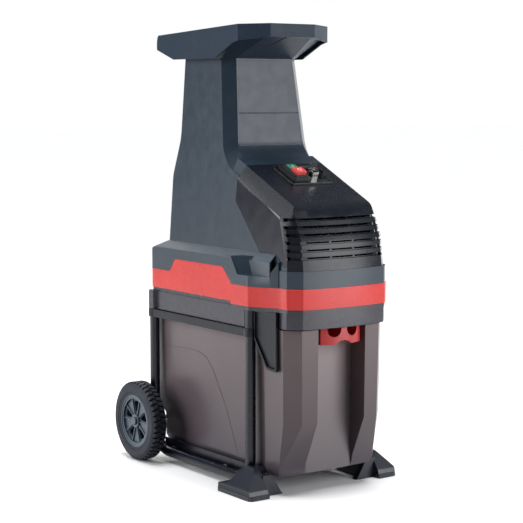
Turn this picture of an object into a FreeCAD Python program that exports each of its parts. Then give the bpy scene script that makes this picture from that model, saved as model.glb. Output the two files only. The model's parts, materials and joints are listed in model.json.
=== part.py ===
import FreeCAD, Part
import math
import os

# Quiet garden shredder on a tubular frame.  Millimetres, +Z up, front towards -Y.
# The origin is on the floor, under the middle of the bounding box.

V = FreeCAD.Vector

# ---- driving dimensions -------------------------------------------------------------
WALL = 3.5                 # moulded housing wall
DECK_TOP = 396.0           # top of the chassis deck, bottom of the red band
BAND_T = 3.0               # thickness of the red band
BAND_TOP = 438.0           # top of the red band at the front
HUMP_TOP = 467.0           # top of the red band at the sides
NOSE_TOP = 474.0           # top of the fascia under the motor hood
SHOULDER_Z = 489.0         # outer edge of the sloping shoulder
SHOULDER_IN_Z = 506.0      # where the shoulder meets the tower wall
SIDE_X = 141.5             # half width of band and shoulder
REAR_Y = 240.5             # rear face of band
BLOCK_X = 165.0            # half width over the corner blocks
NOSE_X = 131.5             # half width of the nose
NOSE_Y = -302.5            # front face of the nose at its corners
NOSE_BOW = 10.0            # forward bow of the nose at its middle
NOSE_CUT = 24.0            # corner chamfer of the nose

TOWER_TOP = 909.0          # top edge of the tower, under the hopper
TOWER_HALF = 98.0          # half width of the tower at its top
TOWER_DRAFT = 0.0667       # widening of the tower per millimetre downwards
TOWER_FRONT = (-18.0, -45.0)   # front face at the top and at the foot of the tower
FLARE_Z = 704.0            # foot of the tower's front face
CORNER_CUT = 23.5          # chamfer of the tower's front corners

HOOD_SLOPE = 0.4625        # rise of the hood top per millimetre backwards
HOOD_REF = (-90.5, 683.0)  # point (y, z) on the hood top
HOOD_EDGE = 100.0          # half width of the flat hood top
LOUVRES = 6
LOUVRE_Z = 500.0           # lowest louvre
LOUVRE_PITCH = 15.5
LOUVRE_GAP = 6.8           # height of each slot between two louvres

TUBE_R = 11.0
TUBE_WALL = 1.5
TUBE_X = 137.0
TUBE_FRONT_Y = -158.5
TUBE_REAR_Y = 222.5
TUBE_LOW_Z = 22.0
TUBE_TOP_Z = 387.0
SCREW_Z = 366.0            # screws that hold the tubes in the chassis sockets
SCREW_HOLE_R = 2.6
BEND_FRONT = 46.0
BEND_REAR = 60.0

WHEEL_R = 90.0
WHEEL_IN = 157.5           # inner face of a wheel
WHEEL_OUT = 197.0          # outer face of a wheel
HUB_OUT = -WHEEL_OUT + 3.0 # outer face of the left hub
RIM_R = 60.0
TREAD_BLOCKS = 44          # tread blocks in each of the two rows
SPOKES = 5
AXLE_R = 5.0
AXLE_Z = WHEEL_R
RUNNING = 0.05             # radial clearance of a shaft in its bore

BOX_X = 122.0              # half width of the box between the tubes
BOX_NOSE_X = 129.4         # half width of the box in front of the tubes
BOX_REAR = 239.0           # rear wall above the axle
BOX_REAR_LOW = 213.0       # rear wall in front of the axle
BOX_FRONT = -291.0         # front face at its corners
BOX_CUT = 28.0             # front corner chamfer
BOX_LOW = 42.0
BOX_TOP = 352.0
BOX_WALL = 2.6
RECESS_X = 62.0            # half width of the recess in the box front
RECESS_Y = -247.0          # back of the recess

ROLLER = (-32.0, 451.0)    # (x, z) of the cutting roller axis
IDLER_2 = (25.4, 459.4)    # (x, z) of the second gear shaft
IDLER_1 = (44.3, 500.2)    # (x, z) of the first gear shaft
MOTOR = (0.0, 508.0)       # (x, z) of the motor shaft
STAGES = ((12, 60, 1.25), (12, 48, 1.5), (13, 45, 2.0))    # pinion, wheel, module
LAYERS = (-142.0, -122.0, -102.0)                          # front face of each stage
FACE = 14.0                # gear face width
KNOB_Y = 0.0               # the adjusting screw lies across the middle of the roller


# ---- outline helpers ----------------------------------------------------------------
def plan(a, b):
    return V(a, b, 0)


def side(a, b):
    return V(0, a, b)


def face_on(a, b):
    return V(a, 0, b)


def closed_wire(corners, place):
    """Closed wire through corners (a, b) or (a, b, radius), rounded by tangent arcs."""
    count = len(corners)
    stops = []
    for i, corner in enumerate(corners):
        here = place(corner[0], corner[1])
        radius = corner[2] if len(corner) > 2 else 0.0
        if radius == 0.0:
            stops.append((here, None, here))
            continue
        before = place(*corners[i - 1][:2]).sub(here).normalize()
        after = place(*corners[(i + 1) % count][:2]).sub(here).normalize()
        half = before.getAngle(after) / 2
        bisector = before.add(after).normalize()
        reach = radius / math.tan(half)
        middle = here.add(bisector.multiply(radius / math.sin(half) - radius))
        stops.append((here.add(before.multiply(reach)), middle, here.add(after.multiply(reach))))
    edges = []
    for i, (start, middle, end) in enumerate(stops):
        if middle is not None:
            edges.append(Part.Arc(start, middle, end).toShape())
        following = stops[(i + 1) % count][0]
        if end.distanceToPoint(following) > 1e-6:
            edges.append(Part.LineSegment(end, following).toShape())
    return Part.Wire(edges)


def prism_z(corners, low, high):
    face = Part.Face(closed_wire(corners, plan))
    return face.extrude(V(0, 0, high - low)).translated(V(0, 0, low))


def prism_x(corners, low, high):
    face = Part.Face(closed_wire(corners, side))
    return face.extrude(V(high - low, 0, 0)).translated(V(low, 0, 0))


def prism_y(corners, low, high):
    face = Part.Face(closed_wire(corners, face_on))
    return face.extrude(V(0, high - low, 0)).translated(V(0, low, 0))


def box(x0, x1, y0, y1, z0, z1):
    return Part.makeBox(x1 - x0, y1 - y0, z1 - z0, V(x0, y0, z0))


def rod_x(radius, x0, x1, y, z):
    return Part.makeCylinder(radius, x1 - x0, V(x0, y, z), V(1, 0, 0))


def rod_y(radius, y0, y1, x, z):
    return Part.makeCylinder(radius, y1 - y0, V(x, y0, z), V(0, 1, 0))


def rod_z(radius, z0, z1, x, y):
    return Part.makeCylinder(radius, z1 - z0, V(x, y, z0), V(0, 0, 1))


def mirrored(shape):
    return shape.mirror(V(0, 0, 0), V(1, 0, 0))


def both_sides(corners):
    """Plan corners of the left half, closed by their mirror image."""
    right = [(-c[0],) + tuple(c[1:]) for c in reversed(corners)]
    return list(corners) + right


def join(shapes):
    return shapes[0].multiFuse(shapes[1:]).removeSplitter()


def hood_top(y):
    return HOOD_REF[1] + HOOD_SLOPE * (y - HOOD_REF[0])


def tower_x(z):
    return TOWER_HALF + TOWER_DRAFT * (TOWER_TOP - z)


# ---- outlines of the lower body -----------------------------------------------------
def bowed_plan(half_width, start_y, front_y, cut, bow, z):
    """Nose outline: straight sides, chamfered front corners and a bowed front edge."""
    outer = front_y + cut
    inner = half_width - cut
    points = [V(-inner, front_y, z), V(-half_width, outer, z), V(-half_width, start_y, z)]
    points += [V(half_width, start_y, z), V(half_width, outer, z), V(inner, front_y, z)]
    edges = [Part.makeLine(a, b) for a, b in zip(points, points[1:])]
    edges.append(Part.Arc(points[-1], V(0, front_y - bow, z), points[0]).toShape())
    return Part.Wire(edges)


def body_face(inset):
    """Plan of the band: rear body, corner blocks beside the frame tubes and bowed nose."""
    block = [(-SIDE_X, -123.0), (-BLOCK_X, -124.0, 2.0), (-BLOCK_X, -186.0, 14.0), (-NOSE_X, -250.0)]
    nose = [(-NOSE_X, NOSE_Y + NOSE_CUT), (-NOSE_X + NOSE_CUT, NOSE_Y)]
    wire = closed_wire(both_sides([(-SIDE_X, REAR_Y, 22.0)] + block + nose), plan)
    straight = next(edge for edge in wire.Edges if edge.BoundBox.YMax < NOSE_Y + 0.01)
    edges = [edge for edge in wire.Edges if not edge.isSame(straight)]
    start, end = straight.Vertexes[0].Point, straight.Vertexes[-1].Point
    edges.append(Part.Arc(start, V(0, NOSE_Y - NOSE_BOW, 0), end).toShape())
    whole = Part.Face(Part.Wire(Part.__sortEdges__(edges)))
    if inset == 0:
        return whole
    return whole.makeOffset2D(-inset, 2)


def body_prism(inset, low, high):
    return body_face(inset).extrude(V(0, 0, high - low)).translated(V(0, 0, low))


def band_zone():
    """Side view region of the red band, with its raised middle."""
    top = [(REAR_Y + 20, BAND_TOP), (150.0, BAND_TOP, 14.0), (128.0, HUMP_TOP, 10.0)]
    top += [(-60.0, HUMP_TOP, 12.0), (-90.0, BAND_TOP, 8.0), (-340.0, BAND_TOP)]
    return prism_x(top + [(-340.0, DECK_TOP), (REAR_Y + 20, DECK_TOP)], -200, 200)


def red_band():
    ring = body_prism(0, DECK_TOP, HUMP_TOP).cut(body_prism(BAND_T, DECK_TOP - 1, HUMP_TOP + 1))
    return ring.common(band_zone()).cut(rod_x(9.0, 100, 200, KNOB_Y, ROLLER[1]))


# ---- tower, hood and shoulder -------------------------------------------------------
def tower(inset):
    """Tower with its flared front foot, as one solid drawn in by inset."""
    top = TOWER_TOP + 3 * (inset > 0)
    profile = [
        (147.5 - inset, top),
        (149.0 - inset, 735.0, 120.0),
        (174.0 - inset, 652.0, 60.0),
        (176.0 - inset, 430.0),
        (-92.0, 430.0),
        (-92.0, hood_top(-92.0) - inset),
        (TOWER_FRONT[1] + inset, FLARE_Z - inset * 0.5, 55.0 + inset),
        (TOWER_FRONT[0] + inset, top),
    ]
    width = [(-tower_x(z) + inset, z) for z in (top, 430.0)]
    solid = prism_x(profile, -200, 200).common(prism_y(both_sides(width), -200, 300))
    corners = []
    for edge in solid.Edges:
        reach = edge.BoundBox
        at_front = reach.YMax < TOWER_FRONT[0] + inset + 1 and reach.ZMin > 600
        if at_front and reach.XLength < 20 and reach.YLength > 0.1:
            corners.append(edge)
    return solid.makeChamfer(CORNER_CUT, corners)


def hood_block(inset):
    """Outer form of the motor hood and of the housing beside it, drawn in by inset."""
    sections = []
    half_width = tower_x(NOSE_TOP) - inset
    cut = NOSE_CUT - 0.6 * inset
    levels = ((NOSE_TOP - 40, -300.0), (NOSE_TOP, -296.5), (535.0, -289.5), (595.0, -263.0), (720.0, -205.0))
    for z, front_y in levels:
        sections.append(bowed_plan(half_width, -60.0, front_y + inset, cut, NOSE_BOW, z))
    nose = Part.makeLoft(sections, True, True)
    width = [(-tower_x(z) + inset, z) for z in (740.0, 420.0)]
    nose = nose.common(prism_y(both_sides(width), -400, 0))
    drop = inset * math.hypot(1, HOOD_SLOPE)
    profile = [
        (0.0, hood_top(0.0) - drop),
        (-271.0 + inset, hood_top(-271.0 + inset) - drop, 65.0),
        (-299.5 + inset, 535.0),
        (-345.0, NOSE_TOP),
        (-345.0, 420.0),
        (0.0, 420.0),
    ]
    nose = nose.common(prism_x(profile, -200, 200))
    edge_x = HOOD_EDGE - 1.1 * inset
    edge_z = hood_top(0.0)
    wedge = [(edge_x, edge_z), (edge_x + 34, edge_z - 66), (edge_x + 80, edge_z - 66)]
    wedge += [(edge_x + 80, edge_z + 60), (edge_x, edge_z + 60)]
    cutter = Part.Face(closed_wire(wedge, face_on)).extrude(V(0, -420, -420 * HOOD_SLOPE))
    return nose.cut(cutter).cut(mirrored(cutter))


def hood_zone():
    """Side view region in front of the joint between housing and hood."""
    joint = [(-91.0, 760.0), (-91.0, 675.0), (-79.5, 651.0), (-77.5, 607.0), (-175.5, 505.0)]
    joint += [(-229.5, 505.0), (-275.5, NOSE_TOP), (-345.0, NOSE_TOP), (-345.0, 760.0)]
    return prism_x(joint, -200, 200)


def shoulder(inset):
    """Rear body under the tower with its sloping shoulders."""
    floor = DECK_TOP - inset
    across = [(-SIDE_X + inset, floor), (-SIDE_X + inset, SHOULDER_Z)]
    across.append((-124.0 + inset, SHOULDER_IN_Z - inset))
    along = [(REAR_Y - inset, floor), (REAR_Y - inset, 478.0 - inset), (176.0 - inset, SHOULDER_IN_Z - inset)]
    along += [(-232.0, SHOULDER_IN_Z - inset), (-232.0, floor)]
    body = body_prism(inset, floor, SHOULDER_IN_Z).common(prism_y(both_sides(across), -232, 300))
    return body.common(prism_x(along, -200, 200))


def corner_block():
    """Stepped block in front of a frame tube, with a scooped top for its screw."""
    base = [(-BLOCK_X, -124.0, 2.0), (-BLOCK_X, -186.0, 14.0), (-NOSE_X, -250.0)]
    base += [(-100.0, -250.0), (-100.0, -124.0)]
    solid = prism_z(base, DECK_TOP, 497.0)
    low = closed_wire([(-180, -152), (-161, -150), (-127, -188), (-127, -270), (-180, -270)], plan)
    high = closed_wire([(-180, -118), (-165, -121), (-127, -172), (-127, -270), (-180, -270)], plan)
    low.translate(V(0, 0, 460))
    high.translate(V(0, 0, 505))
    scoop = Part.makeLoft([low, high], True, True)
    fin = prism_z([(-NOSE_X, -250.0), (-140.2, -233.4), (-125.0, -233.4), (-125.0, -250.0)], BAND_TOP, 499.0)
    slope = prism_x([(-210.0, 520.0), (-232.0, 466.0), (-262.0, 508.0), (-262.0, 520.0)], -200, 0)
    return solid.cut(scoop).fuse(fin.cut(slope))


def fascia(inset):
    wire = bowed_plan(NOSE_X - 1.5 - inset, -170.0, NOSE_Y + 2 + inset, NOSE_CUT, NOSE_BOW, DECK_TOP)
    return Part.Face(wire).extrude(V(0, 0, NOSE_TOP - DECK_TOP))


def housing_outer():
    block = corner_block()
    parts = [shoulder(0), tower(0), hood_block(0), block, mirrored(block), fascia(0)]
    return join(parts).common(box(-200, 200, -340, 260, DECK_TOP, 920)).cut(hood_zone())


def front_panel_zone():
    """Slab just behind the tower's sloping front face."""
    lean = (TOWER_FRONT[0] - TOWER_FRONT[1]) / (TOWER_TOP - FLARE_Z)
    low_y = TOWER_FRONT[1] + lean * (722.0 - FLARE_Z)
    high_y = TOWER_FRONT[1] + lean * (906.0 - FLARE_Z)
    slab = [(low_y - 5, 722.0), (low_y + 2, 722.0), (high_y + 2, 906.0), (high_y - 5, 906.0)]
    wedge = [(-tower_x(z) + CORNER_CUT + 3, z) for z in (906.0, 722.0)]
    return prism_x(slab, -120, 120).common(prism_y(both_sides(wedge), -100, 20))


def front_panel(outer):
    """Thin insert on the tower front, with a groove where its two halves meet."""
    panel = outer.common(front_panel_zone())
    groove_z = 792.0
    lean = (TOWER_FRONT[0] - TOWER_FRONT[1]) / (TOWER_TOP - FLARE_Z)
    y = TOWER_FRONT[1] + lean * (groove_z - FLARE_Z)
    return panel.cut(box(-120, 120, y - 5, y + 1.2, groove_z - 1, groove_z + 1))


def housing(outer):
    inner_low = body_prism(BAND_T + WALL, DECK_TOP - 1, 456.0)
    hollow = [tower(WALL), hood_block(WALL), inner_low, shoulder(WALL), fascia(WALL).translated(V(0, 0, -1))]
    shell = outer
    for cavity in hollow:
        shell = shell.cut(cavity)
    band = body_prism(0, DECK_TOP - 1, HUMP_TOP).cut(body_prism(BAND_T, DECK_TOP - 2, HUMP_TOP + 1))
    shell = shell.cut(band.common(band_zone()))
    shell = shell.cut(front_panel_zone())
    knob_hole = rod_x(9.0, 100, 200, KNOB_Y, ROLLER[1])
    return shell.cut(knob_hole)


def side_panel_zone():
    outline = [(-79.5, 651.0), (-236.0, 584.0), (-275.5, NOSE_TOP)]
    outline += [(-229.5, 505.0), (-175.5, 505.0), (-77.5, 607.0)]
    return prism_x(outline, -200, -90)


def hood_side(outer_block):
    plate = outer_block.common(side_panel_zone()).cut(hood_block(3.0))
    return max(plate.Solids, key=lambda solid: solid.Volume)


def louvre_zone():
    front = [(-238.0, 596.0), (-258.0, 552.0), (-268.5, 500.0), (-271.0, 486.0)]
    front += [(-345.0, 486.0), (-345.0, 596.0)]
    return prism_x(front, -200, 200)


def motor_hood(outer_block):
    zone = louvre_zone()
    thick = outer_block.common(zone).cut(hood_block(13.0))
    shell = outer_block.cut(hood_block(3.0)).fuse(thick)
    shell = shell.common(hood_zone())
    core = hood_block(9.0)
    for i in range(LOUVRES):
        z = LOUVRE_Z + i * LOUVRE_PITCH
        slab = box(-200, 200, -345, -200, z - LOUVRE_GAP / 2, z + LOUVRE_GAP / 2).common(zone)
        shell = shell.cut(slab.cut(core))
        for x0, x1 in ((-86, -32), (-27, 27), (32, 86)):
            shell = shell.cut(box(x0, x1, -345, -225, z - 1.6, z + 1.6).common(zone))
    window = side_panel_zone()
    shell = shell.cut(window).cut(mirrored(window))
    return max(shell.Solids, key=lambda solid: solid.Volume)


# ---- hopper and feed chute ----------------------------------------------------------
HOPPER_X = 119.0
LIP_X = 58.0
LIP_Y = -120.5


def hopper_form(inset):
    half = [(-HOPPER_X + inset, 244.0 - inset, 14.0), (-HOPPER_X + inset, -87.5 + 0.5 * inset)]
    half += [(-LIP_X + 0.3 * inset, LIP_Y + inset, 4.0)]
    outline = prism_z(both_sides(half), 900, 990)
    rim = [(228.5 - inset, 964.0), (243.5 - inset, 935.0), (164.5, 909.0), (1.5, 909.0)]
    rim += [(-67.0, 940.0), (-122.0, 953.0), (-122.0, 981.0), (-87.5, 979.0)]
    return outline.common(prism_x(rim, -200, 200))


def flared_loft(low, low_z, top, top_z):
    wires = []
    for corners, z in ((low, low_z), (top, top_z)):
        wire = closed_wire(both_sides(corners), plan)
        wire.translate(V(0, 0, z))
        wires.append(wire)
    return Part.makeLoft(wires, True, True)


def hopper():
    """Thin skirt with a funnel floor, a neck inside the tower top and a ridge under the lip."""
    inside = [(-HOPPER_X + 3, 241.0, 11.0), (-HOPPER_X + 3, -86.0), (-LIP_X + 1, LIP_Y + 3, 2.0)]
    skirt = hopper_form(0).cut(prism_z(both_sides(inside), 890, 1000))
    cavity = flared_loft([(-91.5, 141.0), (-91.5, 8.0), (-70.0, -11.5)], 911.0,
                         [(-HOPPER_X + 3, 234.0), (-HOPPER_X + 3, -84.0), (-LIP_X + 1, LIP_Y + 3)], 962.0)
    under = flared_loft([(-98.0, 147.0), (-98.0, 6.0), (-75.0, -17.5)], TOWER_TOP,
                        [(-HOPPER_X + 1.5, 237.0), (-HOPPER_X + 1.5, -86.0), (-LIP_X, LIP_Y + 1.5)], 959.0)
    neck = prism_z(both_sides([(-94.0, 143.5), (-94.0, 8.5), (-71.5, -14.0)]), 897.0, 914.0)
    bore = prism_z(both_sides([(-91.5, 141.0), (-91.5, 8.0), (-70.0, -11.5)]), 890.0, 911.0)
    ridge_top = [(-1.0, LIP_Y + 12.0), (-1.0, LIP_Y + 2.0)]
    ridge = flared_loft([(-52.0, -17.0), (-52.0, -19.0)], 911.0, ridge_top, 957.0)
    body = skirt.multiFuse([under, neck, ridge]).cut(cavity).cut(bore)
    return max(body.removeSplitter().Solids, key=lambda solid: solid.Volume)


def chute_section(x0, x1, y0, y1, z):
    """Rectangle with two cut front corners, level at height z."""
    cut = 22.0
    corners = [(x0, y1), (x0, y0 + cut), (x0 + cut, y0), (x1 - cut, y0), (x1, y0 + cut), (x1, y1)]
    wire = closed_wire(corners, plan)
    wire.translate(V(0, 0, z))
    return wire


def feed_chute():
    """Tapered shaft inside the tower, from the hopper neck down to the cutting chamber."""
    outer = [chute_section(-86, 86, -4, 136, 896), chute_section(-80, 66, -60, 62, 507)]
    inner = [chute_section(-83.5, 83.5, -1.5, 133.5, 896.5), chute_section(-77.5, 63.5, -57.5, 59.5, 506.5)]
    return Part.makeLoft(outer, True, True).cut(Part.makeLoft(inner, True, True))


# ---- chassis, frame and feet --------------------------------------------------------
def tube_path(radius):
    """Solid swept along the U-shaped frame tube: down, back along the floor and up."""
    x = -TUBE_X
    low = TUBE_LOW_Z
    f, r = BEND_FRONT, BEND_REAR
    s = math.sqrt(0.5)
    top_front = V(x, TUBE_FRONT_Y, TUBE_TOP_Z)
    a = V(x, TUBE_FRONT_Y, low + f)
    a_mid = V(x, TUBE_FRONT_Y + f - f * s, low + f - f * s)
    b = V(x, TUBE_FRONT_Y + f, low)
    c = V(x, TUBE_REAR_Y - r, low)
    c_mid = V(x, TUBE_REAR_Y - r + r * s, low + r - r * s)
    d = V(x, TUBE_REAR_Y, low + r)
    top_rear = V(x, TUBE_REAR_Y, TUBE_TOP_Z)
    edges = [Part.makeLine(top_front, a), Part.Arc(a, a_mid, b).toShape(), Part.makeLine(b, c)]
    edges += [Part.Arc(c, c_mid, d).toShape(), Part.makeLine(d, top_rear)]
    section = Part.Wire([Part.makeCircle(radius, top_front, V(0, 0, 1))])
    return Part.Wire(edges).makePipeShell([section], True, False)


def frame_tube():
    tube = tube_path(TUBE_R).cut(tube_path(TUBE_R - TUBE_WALL))
    tube = tube.cut(rod_x(AXLE_R, -160, -100, TUBE_REAR_Y, AXLE_Z))
    for y in (TUBE_FRONT_Y, TUBE_REAR_Y):
        tube = tube.cut(rod_x(SCREW_HOLE_R, -TUBE_X, -100, y, SCREW_Z))
    return tube


def chassis():
    """Deck with the discharge opening, side and nose skirts and four tube sockets."""
    deck = body_prism(2.0, 388.0, DECK_TOP)
    deck = deck.cut(box(-78, 62, -60, 60, 380, 400))
    nose_out = bowed_plan(NOSE_X - 1.5, -250.0, NOSE_Y + 3, NOSE_CUT, NOSE_BOW, 355.0)
    nose_in = bowed_plan(NOSE_X - 5.0, -240.0, NOSE_Y + 6.5, NOSE_CUT - 2, NOSE_BOW, 350.0)
    nose_skirt = Part.Face(nose_out).extrude(V(0, 0, 33)).cut(Part.Face(nose_in).extrude(V(0, 0, 45)))
    parts = [deck, nose_skirt]
    for sign in (-1, 1):
        outer, inner = sorted((sign * SIDE_X, sign * (SIDE_X - 3)))
        parts.append(box(outer, inner, -143.5, 207.5, 347, 388))
        inboard, middle = sorted((sign * (TUBE_X - 15), sign * TUBE_X))
        for y in (TUBE_FRONT_Y, TUBE_REAR_Y):
            socket = rod_z(14.5, 355, 388, sign * TUBE_X, y)
            parts.append(socket.common(box(inboard, middle, y - 15, y + 15, 355, 388)))
        outline = [(-TUBE_X, 205.0), (-149.3, 209.0), (-149.3, 229.0, 8.0), (-140.0, 238.5), (-TUBE_X, 238.5)]
        cover = prism_z(outline, 347, 388)
        parts.append(cover if sign < 0 else mirrored(cover))
        parts.append(box(min(sign * 130, sign * 127), max(sign * 130, sign * 127), -236, -172, 372, 388))
    parts.append(box(-TUBE_X, TUBE_X, 235.5, 238.5, BOX_TOP + 1.5, 388))
    for x in (-90.0, 72.0):
        parts.append(box(x, x + 3, -236, 209.5, 366, 388))
    for y in (-72.0, 70.0):
        parts.append(box(-138.5, 138.5, y, y + 3, 366, 388))
    shape = join(parts)
    for sign in (-1, 1):
        for y in (TUBE_FRONT_Y, TUBE_REAR_Y):
            shape = shape.cut(rod_z(TUBE_R, 340, TUBE_TOP_Z, sign * TUBE_X, y))
            inboard, middle = sorted((sign * (TUBE_X - 20), sign * TUBE_X))
            shape = shape.cut(rod_x(SCREW_HOLE_R, inboard, middle, y, SCREW_Z))
    return shape


def gusset():
    """Plate beside the nose, with a raised rim round a sunk panel."""
    outline = [(-170.0, 387.9), (-170.0, 327.0), (-216.0, 266.5), (-250.0, 264.5), (-250.0, 387.9)]
    inner = [(-175.0, 382.0), (-175.0, 329.0), (-218.0, 272.0), (-245.0, 270.5), (-245.0, 382.0)]
    plate = prism_x(outline, -138.0, -131.2)
    return plate.cut(prism_x(inner, -140.0, -133.2)).cut(rod_z(14.5, 350, 390, -TUBE_X, TUBE_FRONT_Y))


def side_rail():
    """Flat bar between the frame tubes under the skirt, clipped round the rear tube."""
    bar = box(-147.5, -139.5, -150.0, 226.0, 328, 346)
    clip = rod_z(14.0, 328, 346, -TUBE_X, TUBE_REAR_Y)
    lug = rod_z(13.5, 328, 346, -TUBE_X, TUBE_FRONT_Y).common(box(-160, -139.5, -180, -140, 320, 350))
    rail = bar.fuse(clip).fuse(lug)
    for y in (TUBE_FRONT_Y, TUBE_REAR_Y):
        rail = rail.cut(rod_z(TUBE_R, 320, 355, -TUBE_X, y))
    return max(rail.Solids, key=lambda solid: solid.Volume)


def foot():
    """Moulded front foot: a clamp sleeve on the tube, a saddle over its bend and a wide sole."""
    profile = [(-121.5, 0.0), (-121.5, 19.0, 3.0), (-152.0, 19.0, 16.0), (-168.0, 58.0, 9.0)]
    profile += [(-207.0, 58.0, 22.0), (-236.0, 17.0, 10.0), (-240.0, 0.0)]
    slope = [(-140.0, 0.0), (-195.0, 0.0), (-195.0, 20.0, 3.0), (-160.0, 58.0, 9.0), (-140.0, 58.0)]
    block = prism_x(profile, -195.0, -148.0).common(prism_y(slope, -250.0, -110.0))
    tread = [(-197.0, -119.0, 6.0), (-147.0, -119.0), (-147.0, -242.0), (-197.0, -242.0, 10.0)]
    sole = prism_z(tread, 0.0, 9.0)
    sleeve = rod_y(15.0, -172.0, -119.0, -TUBE_X, TUBE_LOW_Z)
    arch = [(-146.0, 7.0), (-150.0, 40.0, 8.0), (-158.0, 54.0, 8.0), (-192.0, 54.0, 16.0), (-204.0, 7.0)]
    saddle = prism_x(arch, -151.0, -122.5)
    inner_sole = box(-150.0, -122.5, -214.0, -124.0, 0.0, 8.0)
    wing = [(-150.0, 0.0), (-99.0, 0.0), (-104.0, 6.0), (-128.0, 44.0, 4.0), (-150.0, 44.0)]
    body = join([block, sole, sleeve, saddle, inner_sole, prism_y(wing, -222.0, -208.0)])
    for z in (13.0, 18.0):
        body = body.cut(box(-200, -193.8, -233, -124, z, z + 1.4))
    return body.cut(tube_path(TUBE_R))


def crossbar(y, z):
    bar = rod_x(8.0, -TUBE_X, TUBE_X, y, z).cut(rod_x(6.5, -TUBE_X, TUBE_X, y, z))
    tube = tube_path(TUBE_R)
    return bar.cut(tube).cut(mirrored(tube)).Solids[0]


def box_rail(crossbars):
    """Angle strip that carries one side of the collection box."""
    strip = box(-123.0, -104.0, -118.0, 200.0, 31.0, BOX_LOW - 0.4)
    strip = strip.fuse(box(-125.0, -122.6, -118.0, 200.0, 26.0, 49.0))
    for y, z in crossbars:
        strip = strip.cut(rod_x(8.0, -TUBE_X, TUBE_X, y, z))
    return strip.removeSplitter()


# ---- wheels -------------------------------------------------------------------------
def tyre():
    """Moulded tyre: stepped sidewalls, a centre groove and two rows of tread blocks."""
    middle = (WHEEL_IN + WHEEL_OUT) / 2
    half = (WHEEL_OUT - WHEEL_IN) / 2
    wall = [(-half + 2.0, RIM_R), (-half + 2.0, 65.5, 1.0), (-half, 67.5, 1.0), (-half, 80.0, 4.0)]
    wall.append((-half + 6.0, WHEEL_R, 3.0))
    far_wall = [(-corner[0],) + corner[1:] for corner in reversed(wall)]
    profile = [(corner[0] - middle,) + corner[1:] for corner in wall + far_wall]
    ring = Part.Face(closed_wire(profile, face_on)).revolve(V(0, 0, 0), V(1, 0, 0), 360)
    groove = Part.makeCylinder(95, 2.4, V(-middle - 1.2, 0, 0), V(1, 0, 0))
    groove = groove.cut(Part.makeCylinder(WHEEL_R - 4.0, 2.4, V(-middle - 1.2, 0, 0), V(1, 0, 0)))
    cuts = [groove]
    for i in range(TREAD_BLOCKS):
        for row, x0 in enumerate((-middle - half - 1, -middle + 1.0)):
            slot = box(x0, x0 + half, -2.1, 2.1, WHEEL_R - 4.5, WHEEL_R + 5)
            slot.rotate(V(x0 + half / 2, 0, WHEEL_R), V(0, 0, 1), 14.0 - 28.0 * row)
            slot.rotate(V(0, 0, 0), V(1, 0, 0), (i + 0.5 * row) * 360.0 / TREAD_BLOCKS)
            cuts.append(slot)
    ring = ring.cut(Part.makeCompound(cuts))
    return ring.translated(V(0, TUBE_REAR_Y, AXLE_Z))


def wheel_rod(radius, start, length):
    """Cylinder on the wheel's own axis, from start millimetres inside the hub's outer face."""
    return Part.makeCylinder(radius, length, V(HUB_OUT + start, 0, 0), V(1, 0, 0))


def wheel_hub():
    """Stepped rim and a disc with five rounded openings, each edged by two deep ribs."""
    rim = wheel_rod(RIM_R, 0.0, 33.0).cut(wheel_rod(51.0, -1.0, 35.0)).cut(wheel_rod(56.0, -1.0, 2.5))
    disc = wheel_rod(52.0, 7.0, 4.0)
    parts = [rim, wheel_rod(15.0, 2.0, 33.0)]
    for i in range(SPOKES):
        turn = i * 360.0 / SPOKES
        petal = [(-3.0, 20.0, 2.0), (-12.5, 46.0, 6.0), (12.5, 46.0, 6.0), (3.0, 20.0, 2.0)]
        hole = prism_x(petal, HUB_OUT + 5.0, HUB_OUT + 13.0)
        hole.rotate(V(0, 0, 0), V(1, 0, 0), turn)
        disc = disc.cut(hole)
        for sign in (-1, 1):
            rib = [(sign * 3.6, 12.0), (sign * 15.8, 52.0), (sign * 18.4, 52.0), (sign * 6.2, 12.0)]
            web = prism_x(rib, HUB_OUT + 4.0, HUB_OUT + 24.0)
            web.rotate(V(0, 0, 0), V(1, 0, 0), turn)
            parts.append(web)
    hub = join(parts + [disc]).cut(wheel_rod(AXLE_R + RUNNING, -5.0, 60.0))
    return hub.translated(V(0, TUBE_REAR_Y, AXLE_Z))


def hub_cap():
    """Push-on cap that keeps the wheel on the axle end."""
    cap = wheel_rod(9.0, -2.8, 3.6)
    outer_x = HUB_OUT - 2.8
    outer_edges = [edge for edge in cap.Edges if edge.Closed and abs(edge.BoundBox.XMin - outer_x) < 1e-6]
    cap = cap.makeFillet(1.6, outer_edges).cut(wheel_rod(AXLE_R, -0.8, 2.0))
    return cap.translated(V(0, TUBE_REAR_Y, AXLE_Z))


def axle():
    half = -HUB_OUT + 0.8
    return rod_x(AXLE_R, -half, half, TUBE_REAR_Y, AXLE_Z)


def axle_spacer():
    x0 = -TUBE_X - TUBE_R
    ring = rod_x(9.0, -WHEEL_IN + 0.3 + 3.0, x0 + 1.6, TUBE_REAR_Y, AXLE_Z)
    ring = ring.cut(rod_x(AXLE_R, -200, 0, TUBE_REAR_Y, AXLE_Z))
    return ring.cut(rod_z(TUBE_R, 60, 120, -TUBE_X, TUBE_REAR_Y))


# ---- collection box -----------------------------------------------------------------
# Levels of the box: height, draw-in of the walls, rear wall, and how far the front leans back.
BOX_LEVELS = (
    (BOX_LOW, 9.0, BOX_REAR_LOW, 40.0),
    (BOX_LOW + 12.0, 4.0, BOX_REAR_LOW, 40.0),
    (64.0, 3.9, BOX_REAR_LOW, 39.0),
    (104.0, 3.3, BOX_REAR_LOW, 22.0),
    (130.0, 3.0, BOX_REAR, 11.0),
    (156.0, 2.6, BOX_REAR, 0.0),
    (BOX_TOP, 0.0, BOX_REAR, 0.0),
)


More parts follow.
